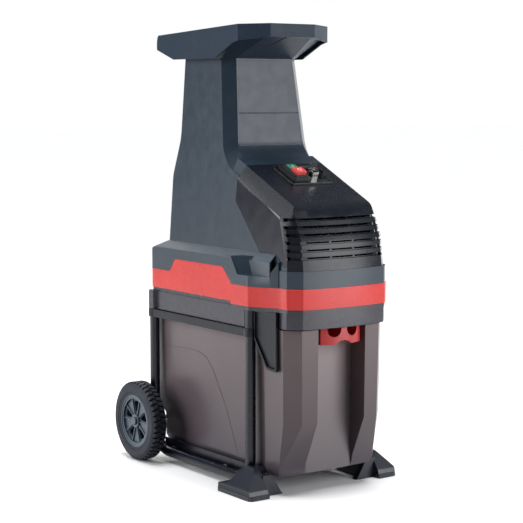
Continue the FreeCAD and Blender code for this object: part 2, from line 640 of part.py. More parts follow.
def box_section(inset, z, shrink, rear_y, lean):
    """Plan of the box: narrow rear part between the tubes, wider nose, chamfered front."""
    rear = BOX_X - inset - shrink
    nose = BOX_NOSE_X - inset - shrink
    front = BOX_FRONT + inset + shrink + lean
    back = rear_y - inset - shrink
    cut = BOX_CUT - 0.62 * lean
    half = [(-rear + 4, back), (-rear, back - 4), (-rear, -186.0 + inset), (-nose, -196.0 + inset)]
    half += [(-nose, front + cut), (-nose + cut, front), (-RECESS_X + 20, front - 5.0)]
    wire = closed_wire(both_sides(half), plan)
    wire.translate(V(0, 0, z))
    return wire


def box_block(inset):
    """Closed form of the box, drawn in by inset and then open through its top."""
    wires = []
    for z, shrink, rear_y, lean in BOX_LEVELS:
        raised = inset if z == BOX_LOW else 0.0
        opened = 2.0 if inset and z == BOX_TOP else 0.0
        wires.append(box_section(inset, z + raised + opened, shrink, rear_y, lean))
    return Part.makeLoft(wires, True, True)


def recess(grow):
    """Hand recess in the middle of the box front; the leaning front runs out into its back wall."""
    x = RECESS_X + grow
    return box(-x, x, -330.0, RECESS_Y + grow, BOX_LOW - 1.0, BOX_TOP + 5)


def collection_box():
    outer = box_block(0).cut(recess(0))
    inner = box_block(BOX_WALL).cut(recess(BOX_WALL))
    shell = outer.cut(inner)
    for sign in (-1, 1):
        shell = shell.cut(side_line(sign))
    return max(shell.Solids, key=lambda solid: solid.Volume)


def side_line(sign):
    """Shallow line pressed into each box side."""
    stations = [(206.0, 263.0), (73.5, 267.0), (33.5, 257.0), (6.5, 232.0), (-44.5, 151.0), (-85.5, 58.0)]
    run = []
    for (y0, z0), (y1, z1) in zip(stations, stations[1:]):
        length = math.hypot(y1 - y0, z1 - z0)
        bar = box(-0.9, 0.9, 0, length, -0.7, 0.7)
        bar.rotate(V(0, 0, 0), V(1, 0, 0), math.degrees(math.atan2(z1 - z0, y1 - y0)))
        shrink = (BOX_TOP - (z0 + z1) / 2) * 4.0 / (BOX_TOP - BOX_LOW - 12.0)
        bar.translate(V(sign * (BOX_X - shrink), y0, z0))
        run.append(bar)
    return Part.makeCompound(run)


def box_latch():
    """Finger latch in the top of the recess, with two finger holes and a wavy lower lip."""
    arc = Part.Arc(V(-52, -288, 318), V(0, -301, 318), V(52, -288, 318)).toShape()
    back = [V(52, -288, 318), V(52, -247.5, 318), V(-52, -247.5, 318), V(-52, -288, 318)]
    edges = [arc] + [Part.makeLine(a, b) for a, b in zip(back, back[1:])]
    body = Part.Face(Part.Wire(edges)).extrude(V(0, 0, 34.5))
    for x in (-23.0, 23.0):
        hole = Part.makeCylinder(15.5, 60, V(x, -320, 352), V(0, 1, -0.12))
        body = body.cut(hole)
    body = body.cut(rod_y(30.0, -310, -272, 0.0, 318.0 - 22.0))
    return body.cut(box(-46, 46, -276, -255, 312, 328))


# ---- controls on the hood -----------------------------------------------------------
TILT = math.degrees(math.atan(HOOD_SLOPE))
PANEL = (8.0, -145.0)      # (x, y) of the middle of the control plate
KNOB_U, KNOB_V = 41.0, -8.0    # middle of the direction knob on the plate
COVER_V, COVER_N = -3.0, 20.6  # hinge pin of the inlet cover, up the slope and outwards
COVER_X = (7.5, 27.5)          # sides of the inlet cover


def on_hood(shape):
    """Carry a shape drawn flat (x across, y up the slope, z outwards) onto the hood top."""
    shape.rotate(V(0, 0, 0), V(1, 0, 0), TILT)
    shape.translate(V(PANEL[0], PANEL[1], hood_top(PANEL[1])))
    return shape


def pad(x0, x1, y0, y1, z0, z1, radius):
    corners = [(x0, y0, radius), (x1, y0, radius), (x1, y1, radius), (x0, y1, radius)]
    return prism_z(corners, z0, z1)


def control_plate():
    plate = pad(-54, 54, -39, 39, 0.0, 3.0, 4.0)
    rim = pad(-54, 54, -39, 39, 3.0, 5.0, 4.0).cut(pad(-51.5, 51.5, -36.5, 36.5, 2.0, 6.0, 2.5))
    return on_hood(plate.fuse(rim).removeSplitter())


def switch_box():
    base = pad(-46, 0, -33, 33, 3.0, 12.0, 3.0)
    top = pad(-40, -6, -27, 27, 12.0, 17.0, 3.0)
    start_well = pad(-34.3, -11.7, 2.7, 22.3, 8.0, 20.0, 1.3)
    stop_well = pad(-36.3, -9.7, -23.3, 0.3, 8.0, 20.0, 1.3)
    return on_hood(base.fuse(top).cut(start_well).cut(stop_well).removeSplitter())


def start_button():
    return on_hood(pad(-34, -12, 3.0, 22.0, 12.0, 19.0, 1.0))


def stop_button():
    return on_hood(pad(-36, -10, -23.0, 0.0, 12.0, 24.0, 1.0))


def inlet_shroud():
    """Bright shroud of the two-pin appliance inlet."""
    outer = pad(8, 27, -20, -6, 3.0, 19.0, 3.0)
    return on_hood(outer.cut(pad(9.5, 25.5, -18.5, -7.5, 5.0, 20.0, 2.0)))


def inlet_pins():
    pins = [rod_z(1.8, 5.0, 12.0, x, -13.0) for x in (13.5, 21.5)]
    return on_hood(pins[0].fuse(pins[1]).fuse(pad(11, 24, -15.5, -10.5, 5.0, 5.6, 1.0)))


def inlet_cover():
    """Hinged flap with a pointed top, which stands open behind the inlet."""
    x0, x1 = COVER_X
    low = COVER_N + 1.4
    outline = [(x0, low), (x1, low), (x1, low + 8.0), ((x0 + x1) / 2, low + 18.0), (x0, low + 11.0)]
    flap = prism_y(outline, COVER_V - 1.1, COVER_V + 1.1)
    barrel = rod_x(2.2, x0, x1, COVER_V, COVER_N)
    return on_hood(flap.fuse(barrel).cut(rod_x(1.0 + RUNNING, x0 - 5, x1 + 5, COVER_V, COVER_N)))


def inlet_hinge():
    """Two posts beside the inlet and the pin that its cover turns on."""
    x0, x1 = COVER_X
    parts = [rod_x(1.0, x0 - 2.8, x1 + 2.8, COVER_V, COVER_N)]
    for inner, outer in ((x0 - 0.3, x0 - 2.8), (x1 + 0.3, x1 + 2.8)):
        low, high = sorted((inner, outer))
        top = COVER_N + 2.4
        post = [(COVER_V - 3.0, 3.0), (COVER_V - 2.6, top, 2.2), (COVER_V + 2.6, top, 2.2)]
        parts.append(prism_x(post + [(COVER_V + 5.0, 3.0)], low, high))
    return on_hood(join(parts))


def direction_knob():
    """Round selector with a raised grip bar."""
    body = rod_z(9.5, 3.3, 14.0, KNOB_U, KNOB_V)
    grip = pad(KNOB_U - 2.5, KNOB_U + 2.5, KNOB_V - 8.5, KNOB_V + 8.5, 14.0, 19.0, 2.0)
    return on_hood(body.fuse(grip).cut(rod_z(1.6, 12.0, 20.0, KNOB_U, KNOB_V - 4.5)))


# ---- motor, gears and cutting group --------------------------------------------------
def gear(teeth, module, y0, centre, turn):
    """Straight-toothed wheel with flat flanks and backlash, axis along Y."""
    pitch = teeth * module / 2
    tip, root = pitch + 0.85 * module, pitch - 1.15 * module
    step = 2 * math.pi / teeth
    points = []
    for i in range(teeth):
        angle = i * step + math.radians(turn)
        for share, radius in ((-0.34, root), (-0.13, tip), (0.13, tip), (0.34, root)):
            a = angle + share * step
            points.append(V(centre[0] + radius * math.cos(a), y0, centre[1] + radius * math.sin(a)))
    points.append(points[0])
    return Part.Face(Part.makePolygon(points)).extrude(V(0, FACE, 0))


def bearing_of(a, b):
    return math.degrees(math.atan2(b[1] - a[1], b[0] - a[0]))


def mesh_turns():
    """Starting angles: each wheel has a gap where its pinion has a tooth."""
    links = ((MOTOR, IDLER_1), (IDLER_1, IDLER_2), (IDLER_2, ROLLER))
    turns = []
    for (start, end), (small, large, module) in zip(links, STAGES):
        towards = bearing_of(start, end)
        turns.append((towards, towards + 180.0 + 180.0 / large))
    return turns


def motor_rotor():
    """Rotor core on its shaft, with the motor pinion cut on the end."""
    x, z = MOTOR
    shaft = rod_y(6.0, -262, LAYERS[0] + 0.5, x, z)
    core = rod_y(29.0, -238, -174, x, z)
    return join([shaft, core, gear(STAGES[0][0], STAGES[0][2], LAYERS[0], MOTOR, mesh_turns()[0][0])])


def motor_stator():
    x, z = MOTOR
    case = rod_y(58.0, -244, -168, x, z).cut(rod_y(30.0, -250, -160, x, z))
    fins = []
    for i in range(24):
        fin = box(x - 1.5, x + 1.5, -240, -172, z + 56, z + 61)
        fin.rotate(V(x, 0, z), V(0, 1, 0), i * 15.0)
        fins.append(fin)
    return join([case] + fins)


def end_shield(y0, y1):
    x, z = MOTOR
    disc = rod_y(58.0, y0, y1, x, z)
    return disc.cut(rod_y(6.0 + RUNNING, y0 - 1, y1 + 1, x, z))


def motor_fan():
    x, z = MOTOR
    hub = rod_y(14.0, -266.0, -255.5, x, z)
    blades = []
    for i in range(8):
        blade = box(x - 1.0, x + 1.0, -265.5, -256.0, z + 10, z + 46)
        blade.rotate(V(x, 0, z), V(0, 1, 0), i * 45.0)
        blades.append(blade)
    return join([hub] + blades).cut(rod_y(6.0, -262.0, -250, x, z))


def capacitor():
    can = rod_y(19.0, -246, -170, 92.0, 428.0)
    return can.fuse(box(90, 94, -220, -200, 396, 412)).removeSplitter()


def gear_first():
    """First wheel with the second pinion on one shaft."""
    (small, large, module) = STAGES[0]
    turns = mesh_turns()
    parts = [gear(large, module, LAYERS[0], IDLER_1, turns[0][1])]
    parts.append(gear(STAGES[1][0], STAGES[1][2], LAYERS[1], IDLER_1, turns[1][0]))
    parts.append(rod_y(5.0, -155, -96, *IDLER_1))
    parts.append(rod_y(8.0, LAYERS[0] + FACE, LAYERS[1], *IDLER_1))
    return join(parts)


def gear_second():
    """Second wheel with the last pinion on one shaft."""
    turns = mesh_turns()
    parts = [gear(STAGES[1][1], STAGES[1][2], LAYERS[1], IDLER_2, turns[1][1])]
    parts.append(gear(STAGES[2][0], STAGES[2][2], LAYERS[2], IDLER_2, turns[2][0]))
    parts.append(rod_y(5.0, -155, -80, *IDLER_2))
    return join(parts)


def gear_output():
    turns = mesh_turns()
    wheel = gear(STAGES[2][1], STAGES[2][2], LAYERS[2], ROLLER, turns[2][1])
    return wheel.cut(rod_y(10.0, -150, 0, *ROLLER))


GEARCASE = (-84.0, 90.0, 400.0, 548.0)     # x and z limits of the gearbox


def gearbox_case():
    """Gearbox half on the motor side, with a bearing bore for each shaft."""
    x0, x1, z0, z1 = GEARCASE
    body = box(x0, x1, -160, -100, z0, z1).cut(box(x0 + 4, x1 - 4, -152, -99, z0 + 4, z1 - 4))
    body = body.cut(rod_y(9.0, -165, -150, *MOTOR))
    for centre in (IDLER_1, IDLER_2):
        body = body.cut(rod_y(5.0 + RUNNING, -156, -150, *centre))
    return body


def gearbox_cover():
    """Rear half of the gearbox, bolted against the cutter frame."""
    x0, x1, z0, z1 = GEARCASE
    body = box(x0, x1, -100, -78, z0, z1).cut(box(x0 + 4, x1 - 4, -101, -84, z0 + 4, z1 - 4))
    body = body.cut(rod_y(10.0 + 1.0, -110, -70, *ROLLER))
    boss = rod_y(9.0, -92, -84, *IDLER_1)
    body = body.fuse(boss).cut(rod_y(5.0 + RUNNING, -110, -88, *IDLER_1))
    return body.cut(rod_y(5.0 + RUNNING, -110, -79.5, *IDLER_2)).removeSplitter()


def cutting_roller():
    """Milled steel roller with eight wedge teeth on a long shaft."""
    x, z = ROLLER
    teeth = 8
    points = []
    for i in range(teeth):
        base = i * 2 * math.pi / teeth
        for share, radius in ((0.0, 42.0), (0.10, 42.0), (0.30, 30.0), (0.88, 33.0)):
            a = base + share * 2 * math.pi / teeth
            points.append(V(x + radius * math.cos(a), -55, z + radius * math.sin(a)))
    points.append(points[0])
    drum = Part.Face(Part.makePolygon(points)).extrude(V(0, 110, 0))
    return join([drum, rod_y(10.0, -103.0, 76.0, x, z), rod_y(14.0, -61.5, 61.5, x, z)])


FRAME_Y = (-76.0, 76.0)


def cutter_frame():
    """Cast frame round the roller: open top and bottom, bearing seats in both ends."""
    body = box(-86, 76, FRAME_Y[0], FRAME_Y[1], 397, 505).cut(box(-77, 60, -62, 62, 390, 510))
    x, z = ROLLER
    for y0, y1 in ((FRAME_Y[0] - 1, -62.0 - 2), (62.0 + 2, FRAME_Y[1] + 1)):
        body = body.cut(rod_y(21.0, y0, y1, x, z))
    body = body.cut(rod_y(14.0, FRAME_Y[0] - 1, FRAME_Y[1] + 1, x, z))
    body = body.cut(rod_x(6.0 + RUNNING, 50, 80, KNOB_Y, z))
    return body


def roller_bearing(y0):
    x, z = ROLLER
    return rod_y(21.0, y0, y0 + 12.0, x, z).cut(rod_y(10.0 + RUNNING, y0 - 1, y0 + 13, x, z))


def counter_plate():
    """Hard plate that the roller presses the branches against."""
    z = ROLLER[1]
    profile = [(11.6, z - 34), (11.6, z + 8), (20.0, z + 46), (34.0, z + 46), (34.0, z - 34)]
    body = prism_y(profile, -61.5, 61.5)
    return body.cut(rod_x(6.3, 17.0, 40.0, KNOB_Y, z))


def adjusting_screw():
    """Threaded spindle (drawn as its outer cylinder) that sets the counter plate."""
    return rod_x(6.0, 24.4, 150.0, KNOB_Y, ROLLER[1])


def adjusting_knob():
    z = ROLLER[1]
    body = rod_x(24.0, SIDE_X + 1.5, SIDE_X + 19.0, KNOB_Y, z)
    for i in range(6):
        notch = rod_x(6.0, SIDE_X, SIDE_X + 20, KNOB_Y, z + 27)
        notch.rotate(V(0, KNOB_Y, z), V(1, 0, 0), i * 60.0)
        body = body.cut(notch)
    return body.cut(rod_x(6.0, 100, 150.0, KNOB_Y, z))


def safety_switch():
    """Microswitch above the latch, which lets the motor run only with the box home."""
    body = box(-14, 14, -284, -264, 360, 388)
    return body.fuse(box(-10, 10, -281, -267, 356.5, 360)).removeSplitter()


# ---- nodes --------------------------------------------------------------------------
def build():
    nodes = {}
    outer = housing_outer()
    block = hood_block(0).common(hood_zone())
    nodes["housing"] = housing(outer)
    nodes["front_panel"] = front_panel(outer)
    nodes["hopper"] = hopper()
    nodes["feed_chute"] = feed_chute()
    nodes["motor_hood"] = motor_hood(block)
    nodes["hood_side_left"] = hood_side(block)
    nodes["hood_side_right"] = mirrored(nodes["hood_side_left"])
    nodes["red_band"] = red_band()
    nodes["chassis"] = chassis()
    crossbars = ((-60.0, 27.0), (150.0, 27.0))
    pairs = {
        "gusset": gusset(),
        "frame_tube": frame_tube(),
        "side_rail": side_rail(),
        "foot": foot(),
        "box_rail": box_rail(crossbars),
        "tyre": tyre(),
        "wheel_hub": wheel_hub(),
        "hub_cap": hub_cap(),
        "axle_spacer": axle_spacer(),
    }
    for name, shape in pairs.items():
        nodes[name + "_left"] = shape
        nodes[name + "_right"] = mirrored(shape)
    nodes["crossbar_front"] = crossbar(*crossbars[0])
    nodes["crossbar_rear"] = crossbar(*crossbars[1])
    nodes["axle"] = axle()
    nodes["collection_box"] = collection_box()
    nodes["box_latch"] = box_latch()
    nodes["safety_switch"] = safety_switch()
    nodes["control_plate"] = control_plate()
    nodes["switch_box"] = switch_box()
    nodes["start_button"] = start_button()
    nodes["stop_button"] = stop_button()
    nodes["inlet_shroud"] = inlet_shroud()
    nodes["inlet_pins"] = inlet_pins()
    nodes["inlet_cover"] = inlet_cover()
    nodes["inlet_hinge"] = inlet_hinge()
    nodes["direction_knob"] = direction_knob()
    nodes["motor_rotor"] = motor_rotor()
    nodes["motor_stator"] = motor_stator()
    nodes["motor_end_front"] = end_shield(-250.0, -244.0)
    nodes["motor_end_rear"] = end_shield(-168.0, -160.0)
    nodes["motor_fan"] = motor_fan()
    nodes["motor_capacitor"] = capacitor()
    nodes["gear_first"] = gear_first()
    nodes["gear_second"] = gear_second()
    nodes["gear_output"] = gear_output()
    nodes["gearbox_case"] = gearbox_case()
    nodes["gearbox_cover"] = gearbox_cover()
    nodes["cutting_roller"] = cutting_roller()
    nodes["cutter_frame"] = cutter_frame()
    nodes["roller_bearing_front"] = roller_bearing(-76.0)
    nodes["roller_bearing_rear"] = roller_bearing(64.0)
    nodes["counter_plate"] = counter_plate()
    nodes["adjusting_screw"] = adjusting_screw()
    nodes["adjusting_knob"] = adjusting_knob()
    return nodes


os.makedirs("parts", exist_ok=True)
for name, shape in build().items():
    solids = shape.Solids
    reach = shape.BoundBox
    limits = [round(v, 1) for v in (reach.XMin, reach.XMax, reach.YMin, reach.YMax, reach.ZMin, reach.ZMax)]
    print(name, len(solids), round(shape.Volume / 1000.0, 2), "cm3", shape.isValid(), limits)
    shape.exportStep("parts/" + name + ".step")
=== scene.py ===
import json
import math

import bmesh
import bpy
from mathutils import Matrix, Vector


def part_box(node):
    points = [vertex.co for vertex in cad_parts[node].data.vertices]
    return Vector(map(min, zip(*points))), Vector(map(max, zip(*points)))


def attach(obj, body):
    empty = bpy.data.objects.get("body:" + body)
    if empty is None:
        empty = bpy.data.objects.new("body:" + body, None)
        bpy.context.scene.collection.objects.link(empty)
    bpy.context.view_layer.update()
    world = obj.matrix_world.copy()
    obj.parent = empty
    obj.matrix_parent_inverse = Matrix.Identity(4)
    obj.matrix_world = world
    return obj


# Wood chipper: materials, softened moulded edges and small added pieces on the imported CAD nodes.
# Metres, +Z up, front towards -Y, the same frame as the CAD model.

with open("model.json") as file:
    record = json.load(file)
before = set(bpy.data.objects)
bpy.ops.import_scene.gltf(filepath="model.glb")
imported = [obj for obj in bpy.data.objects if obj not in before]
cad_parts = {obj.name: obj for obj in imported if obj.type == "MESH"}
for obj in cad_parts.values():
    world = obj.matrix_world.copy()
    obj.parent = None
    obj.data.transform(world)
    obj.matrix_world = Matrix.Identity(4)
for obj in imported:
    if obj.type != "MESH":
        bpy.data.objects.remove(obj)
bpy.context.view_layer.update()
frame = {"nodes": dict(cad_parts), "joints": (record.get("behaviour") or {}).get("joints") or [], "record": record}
nodes = frame["nodes"]
slot_of = {part["node"]: part["material_slot"] for part in frame["record"]["subparts"]}
joint_of = {joint["name"]: joint for joint in frame["joints"]}

MM = 0.001


# ---- camera, light and floor ----------------------------------------------------------
CAMERA_AT = (-1.993, -2.796, 0.8285)
CAMERA_AZIMUTH = 35.545    # degrees from +Y towards +X
CAMERA_DOWN = 6.066        # degrees below level
CAMERA_LENS = 107.2
SENSOR = 36.0

AMBIENT = 0.13
LIGHT_TARGET = (0.0, 0.0, 0.5)
# Name, place, width, height, power and tint of each softbox.
SOFTBOXES = (
    ("side_softbox", (-3.0, 1.4, 1.35), 2.2, 2.6, 92.0, (0.95, 0.975, 1.0)),
    ("front_softbox", (1.8, -3.1, 1.2), 2.2, 2.4, 96.0, (0.97, 0.98, 1.0)),
    ("back_softbox", (0.9, 3.2, 2.4), 2.4, 1.5, 60.0, (1.0, 1.0, 1.0)),
    ("right_softbox", (3.0, 0.9, 1.2), 1.8, 2.0, 30.0, (1.0, 1.0, 1.0)),
)
SKY_AT = (0.0, 0.0, 4.0)
SKY_STRENGTH = 3.3
SKY_SPREAD = 40.0          # degrees
FLOOR_SIZE = 30.0
FLOOR_DROP = 0.5 * MM      # keeps the floor clear of the soles


def aim(position, target):
    """Rotation that points an object's -Z axis from position to target."""
    direction = Vector(target) - Vector(position)
    return direction.to_track_quat("-Z", "Y").to_euler()


def add_camera():
    data = bpy.data.cameras.new("camera")
    data.lens = CAMERA_LENS
    data.sensor_width = SENSOR
    camera = bpy.data.objects.new("camera", data)
    camera.location = CAMERA_AT
    camera.rotation_euler = (math.radians(90 - CAMERA_DOWN), 0, math.radians(-CAMERA_AZIMUTH))
    bpy.context.scene.collection.objects.link(camera)
    bpy.context.scene.camera = camera


def place_light(name, data, position, target):
    light = bpy.data.objects.new(name, data)
    light.location = position
    light.rotation_euler = aim(position, target)
    bpy.context.scene.collection.objects.link(light)


def add_lights():
    """Softboxes on four sides, brightest on the left and in front, and a broad sky from above."""
    for name, position, width, height, power, tint in SOFTBOXES:
        data = bpy.data.lights.new(name, "AREA")
        data.shape = "RECTANGLE"
        data.size = width
        data.size_y = height
        data.energy = power
        data.color = tint
        place_light(name, data, position, LIGHT_TARGET)
    sky = bpy.data.lights.new("overhead", "SUN")
    sky.energy = SKY_STRENGTH
    sky.angle = math.radians(SKY_SPREAD)
    place_light("overhead", sky, SKY_AT, (0, 0, 0))


def add_world():
    """White where the camera looks past the object, a dimmer soft grey as a light source."""
    world = bpy.data.worlds.new("studio")
    world.use_nodes = True
    tree = world.node_tree
    tree.nodes.clear()
    seen = tree.nodes.new("ShaderNodeBackground")
    seen.inputs["Color"].default_value = (1.0, 1.0, 1.0, 1.0)
    seen.inputs["Strength"].default_value = 1.0
    ambient = tree.nodes.new("ShaderNodeBackground")
    ambient.inputs["Color"].default_value = (0.93, 0.96, 1.0, 1.0)
    ambient.inputs["Strength"].default_value = AMBIENT
    path = tree.nodes.new("ShaderNodeLightPath")
    mix = tree.nodes.new("ShaderNodeMixShader")
    out = tree.nodes.new("ShaderNodeOutputWorld")
    tree.links.new(path.outputs["Is Camera Ray"], mix.inputs["Fac"])
    tree.links.new(ambient.outputs["Background"], mix.inputs[1])
    tree.links.new(seen.outputs["Background"], mix.inputs[2])
    tree.links.new(mix.outputs["Shader"], out.inputs["Surface"])
    bpy.context.scene.world = world


# ---- material helpers -----------------------------------------------------------------
class Shader:
    """One Principled material with short calls for the procedural parts that feed it."""

    def __init__(self, name, colour, roughness, **settings):
        self.material = bpy.data.materials.new(name)
        self.material.use_nodes = True
        self.material.diffuse_color = (*colour, 1.0)
        self.tree = self.material.node_tree
        self.bsdf = self.tree.nodes["Principled BSDF"]
        self.bsdf.inputs["Base Color"].default_value = (*colour, 1.0)
        self.bsdf.inputs["Roughness"].default_value = roughness
        for label, value in settings.items():
            self.bsdf.inputs[label.replace("_", " ")].default_value = value
        self.place = self.add("ShaderNodeTexCoord").outputs["Object"]

    def add(self, kind, **inputs):
        node = self.tree.nodes.new(kind)
        for label, value in inputs.items():
            self.feed(value, node.inputs[label.replace("_", " ")])
        return node

    def feed(self, value, socket):
        if isinstance(value, bpy.types.NodeSocket):
            self.tree.links.new(value, socket)
        else:
            socket.default_value = value

    def stretched(self, scale):
        """Object coordinates scaled along each axis, for streaks and brushed grain."""
        mapping = self.add("ShaderNodeMapping", Vector=self.place)
        mapping.inputs["Scale"].default_value = scale
        return mapping.outputs["Vector"]

    def noise(self, scale, detail=2.0, roughness=0.5, vector=None):
        node = self.add("ShaderNodeTexNoise", Vector=vector or self.place, Scale=scale)
        node.inputs["Detail"].default_value = detail
        node.inputs["Roughness"].default_value = roughness
        return node.outputs["Fac"]

    def cells(self, scale):
        node = self.add("ShaderNodeTexVoronoi", Vector=self.place, Scale=scale)
        return node.outputs["Distance"]

    def remap(self, value, low, high, out_low, out_high):
        node = self.add("ShaderNodeMapRange", Value=value)
        node.inputs["From Min"].default_value = low
        node.inputs["From Max"].default_value = high
        node.inputs["To Min"].default_value = out_low
        node.inputs["To Max"].default_value = out_high
        return node.outputs["Result"]

    def maths(self, operation, a, b=0.0):
        node = self.tree.nodes.new("ShaderNodeMath")
        node.operation = operation
        self.feed(a, node.inputs[0])
        self.feed(b, node.inputs[1])
        return node.outputs[0]

    def blend(self, share, first, second):
        node = self.tree.nodes.new("ShaderNodeMix")
        node.data_type = "RGBA"
        self.feed(share, node.inputs["Factor"])
        colours = [socket for socket in node.inputs if socket.type == "RGBA"]
        for socket, value in zip(colours, (first, second)):
            self.feed(value if isinstance(value, bpy.types.NodeSocket) else (*value, 1.0), socket)
        return next(socket for socket in node.outputs if socket.type == "RGBA")

    def colour(self, socket):
        self.feed(socket, self.bsdf.inputs["Base Color"])

    def gloss(self, socket):
        self.feed(socket, self.bsdf.inputs["Roughness"])

    def relief(self, *layers):
        """Stack bump layers, each (height, strength, distance in metres)."""
        normal = None
        for height, strength, distance in layers:
            node = self.add("ShaderNodeBump", Height=height, Strength=strength, Distance=distance)
            if normal is not None:
                self.tree.links.new(normal, node.inputs["Normal"])
            normal = node.outputs["Normal"]
        self.feed(normal, self.bsdf.inputs["Normal"])


DUST = (0.42, 0.42, 0.40)
GRAIN_SIZE = 0.9           # millimetres


def shade(colour, factor):
    return tuple(min(1.0, channel * factor) for channel in colour)


def moulded(name, colour, roughness, grain=0.6, tone=0.10, dust=0.03, shine=0.6):
    """Injection-moulded plastic: spark-eroded grain, faint flow marks and a little dust."""
    s = Shader(name, colour, roughness, Specular_IOR_Level=shine)
    flow = s.noise(5.0, 3.0, 0.6, s.stretched((1.0, 1.0, 0.35)))
    base = s.blend(s.remap(flow, 0.35, 0.65, 0.0, 1.0), shade(colour, 1 - tone), shade(colour, 1 + tone))
    film = s.remap(s.noise(18.0, 5.0, 0.7), 0.52, 0.78, 0.0, dust)
    base = s.blend(film, base, DUST)
    pebbles = s.cells(1000.0 / GRAIN_SIZE)
    s.colour(s.blend(s.remap(pebbles, 0.2, 0.7, 0.0, 0.06), base, shade(colour, 1.8)))
    s.gloss(s.remap(s.noise(40.0, 2.0, 0.6), 0.3, 0.7, roughness - 0.03, roughness + 0.04))
    s.relief((s.noise(7.0, 1.0), 0.06, 0.002), (pebbles, 0.25 * grain, 0.00004))
    return s.material


def polished_plastic(name, colour, roughness, tone=0.05, shine=0.5):
    """Glossy moulding with shallow sink waves and rubbed patches."""
    s = Shader(name, colour, roughness, Specular_IOR_Level=shine)
    flow = s.noise(6.0, 3.0, 0.6)
    s.colour(s.blend(s.remap(flow, 0.35, 0.65, 0.0, 1.0), shade(colour, 1 - tone), shade(colour, 1 + tone)))
    rubbed = s.noise(30.0, 4.0, 0.6)
    s.gloss(s.remap(rubbed, 0.35, 0.75, roughness - 0.02, roughness + 0.06))
    s.relief((s.noise(6.0, 1.0), 0.06, 0.0015))
    return s.material


def powder_coat(name, colour):
    """Black powder paint with orange peel."""
    s = Shader(name, colour, 0.30, Specular_IOR_Level=0.4)
    peel = s.noise(420.0, 2.0, 0.5)
    s.colour(s.blend(s.remap(s.noise(14.0, 4.0), 0.4, 0.7, 0.0, 1.0), colour, shade(colour, 1.5)))
    s.gloss(s.remap(s.noise(40.0, 3.0, 0.6), 0.3, 0.7, 0.26, 0.34))
    s.relief((peel, 0.20, 0.00012))
    return s.material


def machined(name, colour, roughness):
    """Turned or ground steel: directional streaks under a light oil film."""
    s = Shader(name, colour, roughness, Metallic=1.0)
    lines = s.noise(420.0, 3.0, 0.6, s.stretched((1.0, 30.0, 1.0)))
    stain = s.noise(22.0, 5.0, 0.7)
    base = s.blend(s.remap(lines, 0.3, 0.7, 0.0, 1.0), shade(colour, 0.82), shade(colour, 1.1))
    s.colour(s.blend(s.remap(stain, 0.5, 0.75, 0.0, 0.35), base, shade(colour, 0.55)))
    s.gloss(s.remap(stain, 0.3, 0.7, roughness - 0.06, roughness + 0.14))
    s.relief((lines, 0.25, 0.00008))
    return s.material


def cast_metal(name, colour):
    """Sand-rough casting."""
    s = Shader(name, colour, 0.48, Metallic=1.0)
    lumps = s.noise(160.0, 5.0, 0.7)
    s.colour(s.blend(s.remap(lumps, 0.35, 0.65, 0.0, 1.0), shade(colour, 0.75), colour))
    s.gloss(s.remap(lumps, 0.3, 0.7, 0.40, 0.62))
    s.relief((lumps, 0.45, 0.0004), (s.noise(1300.0, 2.0), 0.3, 0.0001))
    return s.material


def zinc_plated(name):
    """Zinc plate with a faint spangle."""
    s = Shader(name, (0.62, 0.63, 0.65), 0.28, Metallic=1.0)
    spangle = s.cells(330.0)
    s.colour(s.blend(s.remap(spangle, 0.1, 0.6, 0.0, 1.0), (0.48, 0.50, 0.52), (0.70, 0.70, 0.70)))
    s.gloss(s.remap(s.noise(80.0, 4.0), 0.3, 0.7, 0.20, 0.38))
    s.relief((s.noise(900.0, 2.0), 0.15, 0.00008))
    return s.material


def bright_plate(name):
    """Bright contact metal, dulled in patches."""
    s = Shader(name, (0.52, 0.51, 0.48), 0.24, Metallic=1.0)
    stain = s.remap(s.noise(120.0, 4.0), 0.4, 0.7, 0.0, 1.0)
    s.colour(s.blend(stain, (0.55, 0.54, 0.51), (0.40, 0.39, 0.36)))
    s.gloss(s.remap(s.noise(300.0, 3.0), 0.3, 0.7, 0.18, 0.32))
    return s.material


def rubber(name, colour):
    """Hard tyre rubber: matt, slightly greyed on the blocks, finely pitted."""
    s = Shader(name, colour, 0.62, Specular_IOR_Level=0.4)
    wear = s.noise(45.0, 5.0, 0.7)
    s.colour(s.blend(s.remap(wear, 0.4, 0.7, 0.0, 0.6), colour, shade(colour, 1.9)))
    s.gloss(s.remap(wear, 0.3, 0.7, 0.54, 0.74))
    s.relief((s.cells(700.0), 0.25, 0.0002), (s.noise(120.0, 3.0), 0.2, 0.0006))
    return s.material


def smoked_box(name):
    """Smoke-brown plastic with painted light: a painted reflection makes it paler and warmer under the rim,
    painted shade makes it darker and cooler towards the floor, and a painted patch of light lies behind the hand
    recess.
    """
    s = Shader(name, (0.150, 0.125, 0.130), 0.34, Specular_IOR_Level=0.4)
    split = s.add("ShaderNodeSeparateXYZ", Vector=s.place)
    # Painted light and shade by height: dark and cool low down, pale and warm under the rim.
    height = s.remap(split.outputs["Z"], 0.05, 0.34, 0.0, 1.0)
    base = s.blend(height, (0.068, 0.054, 0.066), (0.195, 0.145, 0.147))
    cloud = s.noise(4.0, 3.0, 0.6, s.stretched((1.0, 1.0, 0.4)))
    base = s.blend(s.remap(cloud, 0.35, 0.65, 0.0, 0.25), base, (0.110, 0.092, 0.104))
    # Painted light: a paler patch on the front wall behind the hand recess, where light would come through the
    # box.
    middle = s.remap(s.maths("ABSOLUTE", split.outputs["X"]), 0.056, 0.062, 1.0, 0.0)
    front = s.remap(split.outputs["Y"], -0.10, -0.05, 1.0, 0.0)
    painted_light = s.blend(height, (0.150, 0.132, 0.142), (0.370, 0.300, 0.305))
    s.colour(s.blend(s.maths("MULTIPLY", middle, front), base, painted_light))
    s.gloss(s.remap(s.noise(12.0, 1.0), 0.3, 0.7, 0.30, 0.38))
    s.relief((s.noise(4.0, 0.0), 0.05, 0.003))
    return s.material


